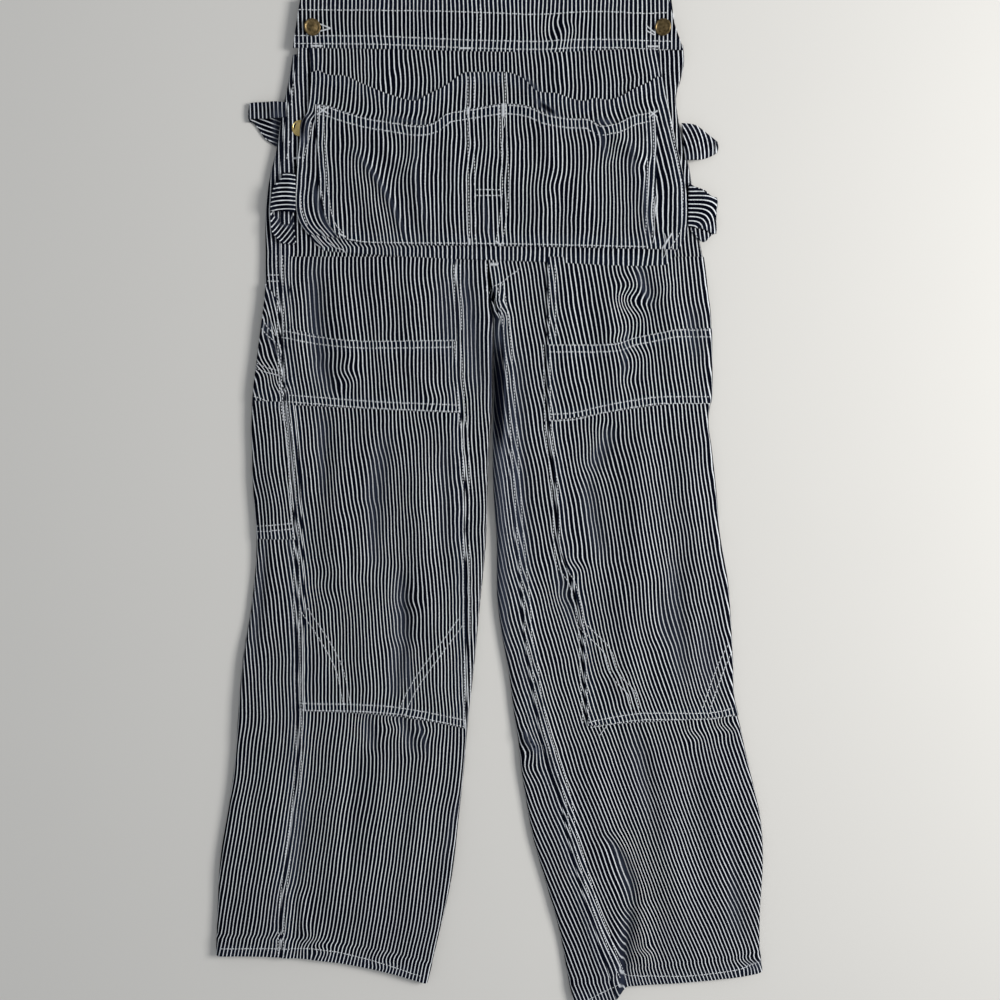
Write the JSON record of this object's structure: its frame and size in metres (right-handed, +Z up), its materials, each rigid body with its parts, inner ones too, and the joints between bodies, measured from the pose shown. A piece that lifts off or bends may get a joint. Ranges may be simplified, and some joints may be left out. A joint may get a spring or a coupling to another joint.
{
  "type": "bib overalls with nail apron, laid flat",
  "caption": "Striped cotton bib overalls laid flat, with double knees, hammer loops, a ruler pocket and a pocketed nail apron over the hips.",
  "frame": {"origin": "centre front of the waist at the waistband's lower edge, on the flat underside that rests on the surface", "axes": "+X to the wearer's left, +Y up the garment from the hems to the shoulder straps, +Z up from the surface"},
  "size_m": [0.6187, 1.6547, 0.0169],
  "materials": {
    "striped_cotton": "woven cotton twill, dark indigo with fine off-white lengthwise stripes, matt",
    "aged_brass": "aged",
    "bright_brass": "polished",
    "steel": "satin",
    "thread": "off-white topstitching thread"
  },
  "bodies": {
    "root": {"front_right": "striped_cotton", "front_left": "striped_cotton", "back_right": "striped_cotton", "back_left": "striped_cotton", "thigh_panel_right": "striped_cotton", "thigh_band_right": "striped_cotton", "knee_patch_right": "striped_cotton", "thigh_panel_left": "striped_cotton", "thigh_band_left": "striped_cotton", "knee_patch_left": "striped_cotton", "ruler_pocket_upper": "striped_cotton", "ruler_pocket_lower": "striped_cotton", "apron_base": "striped_cotton", "apron_rear_pocket": "striped_cotton", "apron_front_pocket": "striped_cotton", "front_waistband": "striped_cotton", "bib": "striped_cotton", "back_panel": "striped_cotton", "strap_right": "striped_cotton", "strap_buckle_right": "steel", "strap_slide_right": "steel", "bib_button_right": "aged_brass", "waist_button_right": "aged_brass", "strap_left": "striped_cotton", "strap_buckle_left": "steel", "strap_slide_left": "steel", "bib_button_left": "aged_brass", "waist_button_left": "aged_brass", "side_button_right": "bright_brass", "hammer_loop_right_upper": "striped_cotton", "hammer_loop_right_lower": "striped_cotton", "hammer_loop_left_upper": "striped_cotton", "hammer_loop_left_lower": "striped_cotton"}
  },
  "joints": []
}
